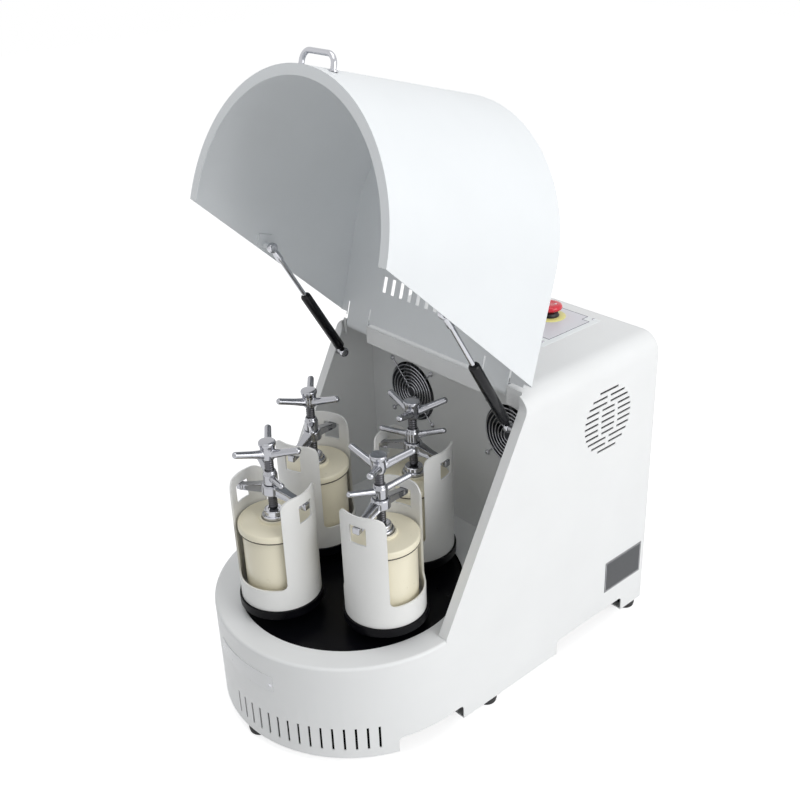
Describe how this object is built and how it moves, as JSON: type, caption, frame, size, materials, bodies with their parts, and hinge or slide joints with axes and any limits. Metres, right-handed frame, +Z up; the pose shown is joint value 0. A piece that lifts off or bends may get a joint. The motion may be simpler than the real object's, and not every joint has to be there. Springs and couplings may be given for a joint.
{
  "type": "planetary_ball_mill",
  "caption": "Bench planetary ball mill with a hinged D-shaped hood on gas springs, clamped grinding jars on a turntable and an emergency stop",
  "frame": {"origin": "centre of the bounding box at the bench surface", "axes": "+Z up, -Y the front with the jars, +X the right-hand side seen from the front"},
  "size_m": [0.47, 0.75, 1.0791],
  "materials": {
    "white_paint": "satin",
    "lid_paint": "satin",
    "black_paint": "satin",
    "panel_plastic": "matte",
    "red_plastic": "gloss",
    "yellow_plastic": "gloss",
    "rubber": "matte",
    "chrome": "polished",
    "steel": "brushed",
    "cream_ceramic": "satin",
    "polished_steel": "polished",
    "black_plastic": "matte",
    "aluminium": "satin",
    "zinc": "satin"
  },
  "bodies": {
    "case": {"body_shell": "white_paint", "chamber_back_wall": "white_paint", "rear_panel": "white_paint", "base_frame": "zinc", "rubber_feet": "rubber", "control_panel": "panel_plastic", "estop_collar": "yellow_plastic", "hinge_rod": "steel", "fan_frames": "black_plastic", "fan_guards": "chrome", "motor": "black_paint", "drive_belt": "rubber", "sun_gear": "steel", "electrical_box": "zinc", "power_inlet": "black_plastic", "spring_studs": "steel"},
    "lid": {"lid_shell": "lid_paint", "lid_handle": "chrome"},
    "stop_button": {"estop_button": "red_plastic"},
    "fan_left": {"fan_rotor_left": "black_plastic"},
    "fan_right": {"fan_rotor_right": "black_plastic"},
    "spring_tube_left": {"gas_cylinder_left": "black_paint"},
    "spring_tube_right": {"gas_cylinder_right": "black_paint"},
    "spring_rod_left": {"gas_rod_left": "chrome"},
    "spring_rod_right": {"gas_rod_right": "chrome"},
    "rotor": {"turntable": "black_paint", "main_shaft": "steel"},
    "motor_shaft": {"motor_pulley": "aluminium"},
    "station_1": {"planet_gear_1": "black_paint", "jar_sleeve_1": "white_paint", "jar_1": "cream_ceramic", "jar_lid_1": "cream_ceramic", "clamp_beam_1": "polished_steel"},
    "foot_1": {"press_foot_1": "chrome"},
    "screw_1": {"clamp_screw_1": "polished_steel"},
    "nut_1": {"lock_nut_1": "polished_steel"},
    "station_2": {"planet_gear_2": "black_paint", "jar_sleeve_2": "white_paint", "jar_2": "cream_ceramic", "jar_lid_2": "cream_ceramic", "clamp_beam_2": "polished_steel"},
    "foot_2": {"press_foot_2": "chrome"},
    "screw_2": {"clamp_screw_2": "polished_steel"},
    "nut_2": {"lock_nut_2": "polished_steel"},
    "station_3": {"planet_gear_3": "black_paint", "jar_sleeve_3": "white_paint", "jar_3": "cream_ceramic", "jar_lid_3": "cream_ceramic", "clamp_beam_3": "polished_steel"},
    "foot_3": {"press_foot_3": "chrome"},
    "screw_3": {"clamp_screw_3": "polished_steel"},
    "nut_3": {"lock_nut_3": "polished_steel"},
    "station_4": {"planet_gear_4": "black_paint", "jar_sleeve_4": "white_paint", "jar_4": "cream_ceramic", "jar_lid_4": "cream_ceramic", "clamp_beam_4": "polished_steel"},
    "foot_4": {"press_foot_4": "chrome"},
    "screw_4": {"clamp_screw_4": "polished_steel"},
    "nut_4": {"lock_nut_4": "polished_steel"}
  },
  "joints": [
    {"name": "lid_hinge", "type": "hinge", "parent": "case", "child": "lid", "pos_m": [0, 0.057, 0.553], "axis": [1, 0, 0], "range_deg": [0, 106]},
    {"name": "spring_swing_left", "type": "hinge", "parent": "case", "child": "spring_tube_left", "pos_m": [-0.203, 0.0311, 0.5042], "axis": [1, 0, 0], "range_deg": [0, 115.7]},
    {"name": "spring_stroke_left", "type": "slide", "parent": "spring_tube_left", "child": "spring_rod_left", "axis": [0, -0.4991, 0.8666], "range_m": [-0.0798, 0]},
    {"name": "spring_swing_right", "type": "hinge", "parent": "case", "child": "spring_tube_right", "pos_m": [0.203, 0.0311, 0.5042], "axis": [1, 0, 0], "range_deg": [0, 115.7]},
    {"name": "spring_stroke_right", "type": "slide", "parent": "spring_tube_right", "child": "spring_rod_right", "axis": [0, -0.4991, 0.8666], "range_m": [-0.0798, 0]},
    {"name": "turntable_spin", "type": "hinge", "parent": "case", "child": "rotor", "pos_m": [0, -0.14, 0.188], "axis": [0, 0, 1], "continuous": true},
    {"name": "motor_spin", "type": "hinge", "parent": "case", "child": "motor_shaft", "pos_m": [0, 0.246, 0.071], "axis": [0, 0, 1], "continuous": true},
    {"name": "fan_left_spin", "type": "hinge", "parent": "case", "child": "fan_left", "pos_m": [-0.122, 0.135, 0.421], "axis": [0, 1, 0], "continuous": true},
    {"name": "fan_right_spin", "type": "hinge", "parent": "case", "child": "fan_right", "pos_m": [0.122, 0.135, 0.421], "axis": [0, 1, 0], "continuous": true},
    {"name": "stop_press", "type": "slide", "parent": "case", "child": "stop_button", "axis": [0, 0, -1], "range_m": [0, 0.005]},
    {"name": "station_1_spin", "type": "hinge", "parent": "rotor", "child": "station_1", "pos_m": [-0.02988, -0.26446, 0.188], "axis": [0, 0, 1], "continuous": true},
    {"name": "foot_1_lift", "type": "slide", "parent": "station_1", "child": "foot_1", "axis": [0, 0, 1], "range_m": [0, 0.008]},
    {"name": "screw_1_turn", "type": "hinge", "parent": "foot_1", "child": "screw_1", "pos_m": [-0.02988, -0.26446, 0.487], "axis": [0, 0, 1], "range_deg": [0, 720]},
    {"name": "nut_1_turn", "type": "hinge", "parent": "station_1", "child": "nut_1", "pos_m": [-0.02988, -0.26446, 0.436], "axis": [0, 0, 1], "range_deg": [0, 360]},
    {"name": "station_2_spin", "type": "hinge", "parent": "rotor", "child": "station_2", "pos_m": [0.12446, -0.16988, 0.188], "axis": [0, 0, 1], "continuous": true},
    {"name": "foot_2_lift", "type": "slide", "parent": "station_2", "child": "foot_2", "axis": [0, 0, 1], "range_m": [0, 0.008]},
    {"name": "screw_2_turn", "type": "hinge", "parent": "foot_2", "child": "screw_2", "pos_m": [0.12446, -0.16988, 0.487], "axis": [0, 0, 1], "range_deg": [0, 720]},
    {"name": "nut_2_turn", "type": "hinge", "parent": "station_2", "child": "nut_2", "pos_m": [0.12446, -0.16988, 0.436], "axis": [0, 0, 1], "range_deg": [0, 360]},
    {"name": "station_3_spin", "type": "hinge", "parent": "rotor", "child": "station_3", "pos_m": [0.02988, -0.01554, 0.188], "axis": [0, 0, 1], "continuous": true},
    {"name": "foot_3_lift", "type": "slide", "parent": "station_3", "child": "foot_3", "axis": [0, 0, 1], "range_m": [0, 0.008]},
    {"name": "screw_3_turn", "type": "hinge", "parent": "foot_3", "child": "screw_3", "pos_m": [0.02988, -0.01554, 0.487], "axis": [0, 0, 1], "range_deg": [0, 720]},
    {"name": "nut_3_turn", "type": "hinge", "parent": "station_3", "child": "nut_3", "pos_m": [0.02988, -0.01554, 0.436], "axis": [0, 0, 1], "range_deg": [0, 360]},
    {"name": "station_4_spin", "type": "hinge", "parent": "rotor", "child": "station_4", "pos_m": [-0.12446, -0.11012, 0.188], "axis": [0, 0, 1], "continuous": true},
    {"name": "foot_4_lift", "type": "slide", "parent": "station_4", "child": "foot_4", "axis": [0, 0, 1], "range_m": [0, 0.008]},
    {"name": "screw_4_turn", "type": "hinge", "parent": "foot_4", "child": "screw_4", "pos_m": [-0.12446, -0.11012, 0.487], "axis": [0, 0, 1], "range_deg": [0, 720]},
    {"name": "nut_4_turn", "type": "hinge", "parent": "station_4", "child": "nut_4", "pos_m": [-0.12446, -0.11012, 0.436], "axis": [0, 0, 1], "range_deg": [0, 360]}
  ],
  "couplings": [
    {"joint": "spring_swing_left", "follows": "lid_hinge", "ratio": 1.0907},
    {"joint": "spring_stroke_left", "follows": "lid_hinge", "m_per_rad": -0.043132},
    {"joint": "spring_swing_right", "follows": "lid_hinge", "ratio": 1.0907},
    {"joint": "spring_stroke_right", "follows": "lid_hinge", "m_per_rad": -0.043132},
    {"joint": "motor_spin", "follows": "turntable_spin", "ratio": 3},
    {"joint": "station_1_spin", "follows": "turntable_spin", "ratio": 1},
    {"joint": "foot_1_lift", "follows": "screw_1_turn", "m_per_rad": 0.00063656},
    {"joint": "station_2_spin", "follows": "turntable_spin", "ratio": 1},
    {"joint": "foot_2_lift", "follows": "screw_2_turn", "m_per_rad": 0.00063656},
    {"joint": "station_3_spin", "follows": "turntable_spin", "ratio": 1},
    {"joint": "foot_3_lift", "follows": "screw_3_turn", "m_per_rad": 0.00063656},
    {"joint": "station_4_spin", "follows": "turntable_spin", "ratio": 1},
    {"joint": "foot_4_lift", "follows": "screw_4_turn", "m_per_rad": 0.00063656}
  ]
}
